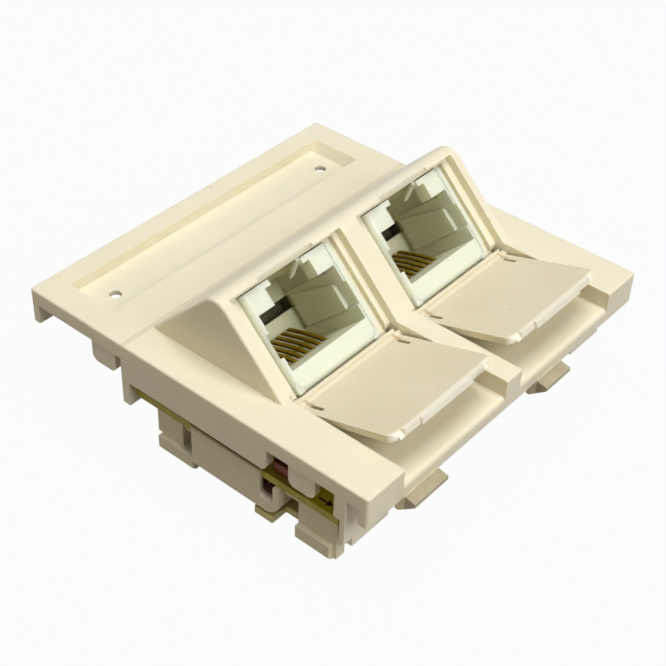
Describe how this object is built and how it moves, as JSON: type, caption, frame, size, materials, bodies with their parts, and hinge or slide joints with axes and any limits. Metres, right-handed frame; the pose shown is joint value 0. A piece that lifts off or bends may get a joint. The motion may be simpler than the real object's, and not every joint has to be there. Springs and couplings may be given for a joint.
{
  "type": "angled twin-port data outlet faceplate",
  "caption": "Square snap-in faceplate with a sloping hood that tilts modular data jacks downwards, hinged dust flaps, a label recess and board-mounted jacks with a rear wiring carrier.",
  "frame": {"origin": "bottom centre of the bounding box, on the surface on which the part lies on its back", "axes": "+Z out of the outer face of the plate, +Y towards the label edge, +X along the label edge, so that the left port is at -X seen from the front"},
  "size_m": [0.05, 0.0528, 0.0244],
  "materials": {
    "cream_plastic": "satin moulded cream",
    "white_plastic": "matte moulded white",
    "gold_contact": "gold-plated spring wire",
    "tin_contact": "tin-plated",
    "board_laminate": "solder-masked laminate, olive",
    "brown_component": "dipped component, brown",
    "amber_plastic": "translucent amber sheet"
  },
  "bodies": {
    "module": {"faceplate": "cream_plastic", "left_jack_housing": "white_plastic", "right_jack_housing": "white_plastic", "left_contact_1": "gold_contact", "left_contact_2": "gold_contact", "left_contact_3": "gold_contact", "left_contact_4": "gold_contact", "left_contact_5": "gold_contact", "left_contact_6": "gold_contact", "left_contact_7": "gold_contact", "left_contact_8": "gold_contact", "right_contact_1": "gold_contact", "right_contact_2": "gold_contact", "right_contact_3": "gold_contact", "right_contact_4": "gold_contact", "right_contact_5": "gold_contact", "right_contact_6": "gold_contact", "right_contact_7": "gold_contact", "right_contact_8": "gold_contact", "circuit_board": "board_laminate", "board_capacitor": "brown_component", "rear_carrier": "cream_plastic", "insulating_plate": "amber_plastic", "left_front_terminal_block": "white_plastic", "left_front_terminal_blades": "tin_contact", "left_back_terminal_block": "white_plastic", "left_back_terminal_blades": "tin_contact", "right_front_terminal_block": "white_plastic", "right_front_terminal_blades": "tin_contact", "right_back_terminal_block": "white_plastic", "right_back_terminal_blades": "tin_contact"},
    "left_flap": {"left_flap": "cream_plastic"},
    "right_flap": {"right_flap": "cream_plastic"}
  },
  "joints": [
    {"name": "left_flap_hinge", "type": "hinge", "parent": "module", "child": "left_flap", "pos_m": [-0.0103, -0.01029, 0.01405], "axis": [-1, 0, 0], "range_deg": [-17, 117.4]},
    {"name": "right_flap_hinge", "type": "hinge", "parent": "module", "child": "right_flap", "pos_m": [0.0103, -0.01029, 0.01405], "axis": [-1, 0, 0], "range_deg": [-17, 117.4]}
  ]
}
